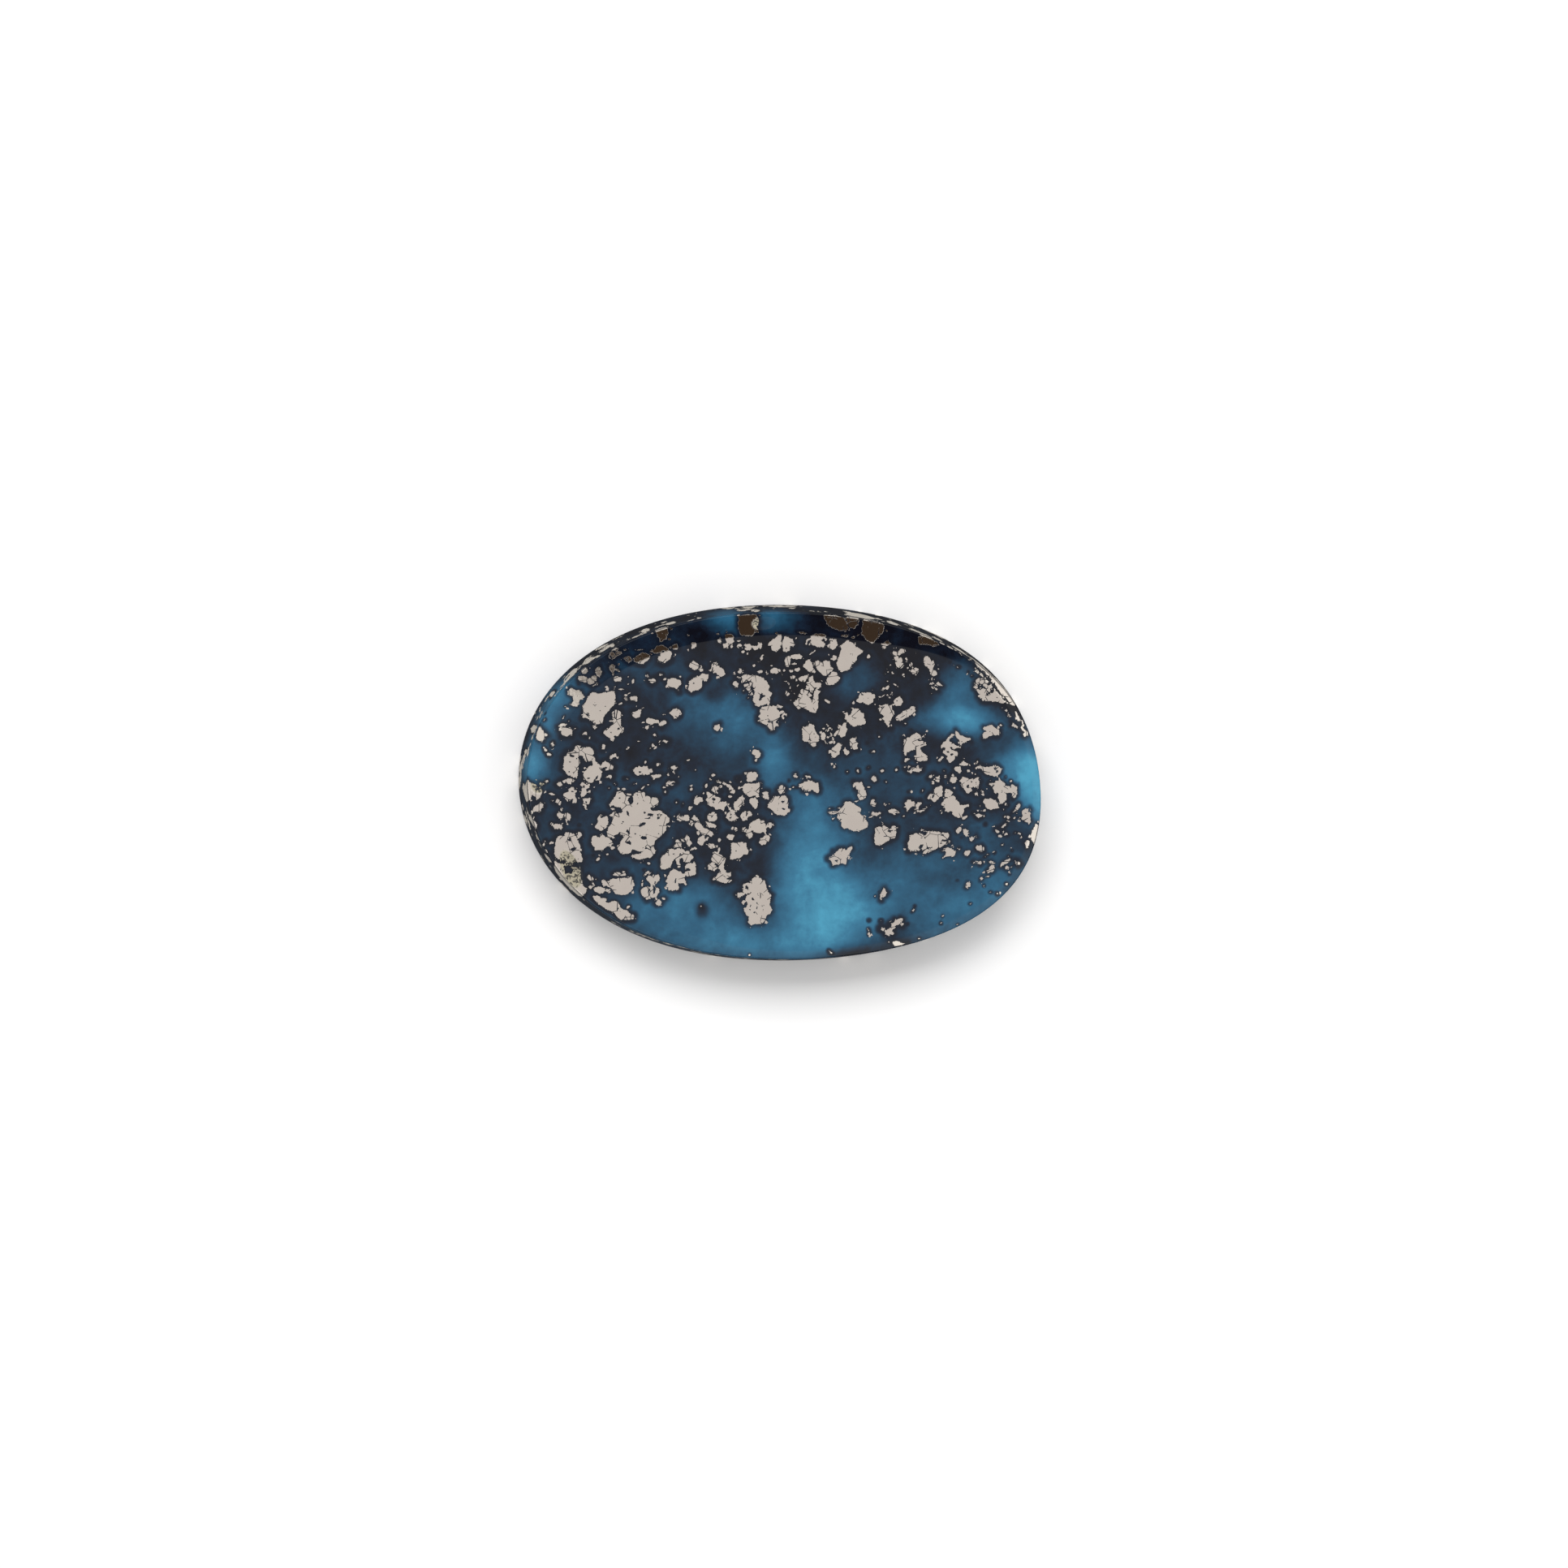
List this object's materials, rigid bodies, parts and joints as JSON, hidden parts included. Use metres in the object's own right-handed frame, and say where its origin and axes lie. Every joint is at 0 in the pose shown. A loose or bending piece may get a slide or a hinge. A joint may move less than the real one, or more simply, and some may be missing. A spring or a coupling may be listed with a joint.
{
  "type": "persian turquoise cabochon",
  "caption": "Polished flat-topped oval turquoise with a bevelled rim, black matrix and pyrite grains, lying on its flat back.",
  "frame": {"origin": "middle of the box of the flat back, on the surface the stone rests on", "axes": "+Z out of the polished face, away from the flat back; +X along the stone's length, towards its narrow-bevelled end"},
  "size_m": [0.03, 0.0204, 0.0044],
  "materials": {
    "turquoise": "polished"
  },
  "bodies": {
    "root": {"turquoise_stone": "turquoise"}
  },
  "joints": []
}
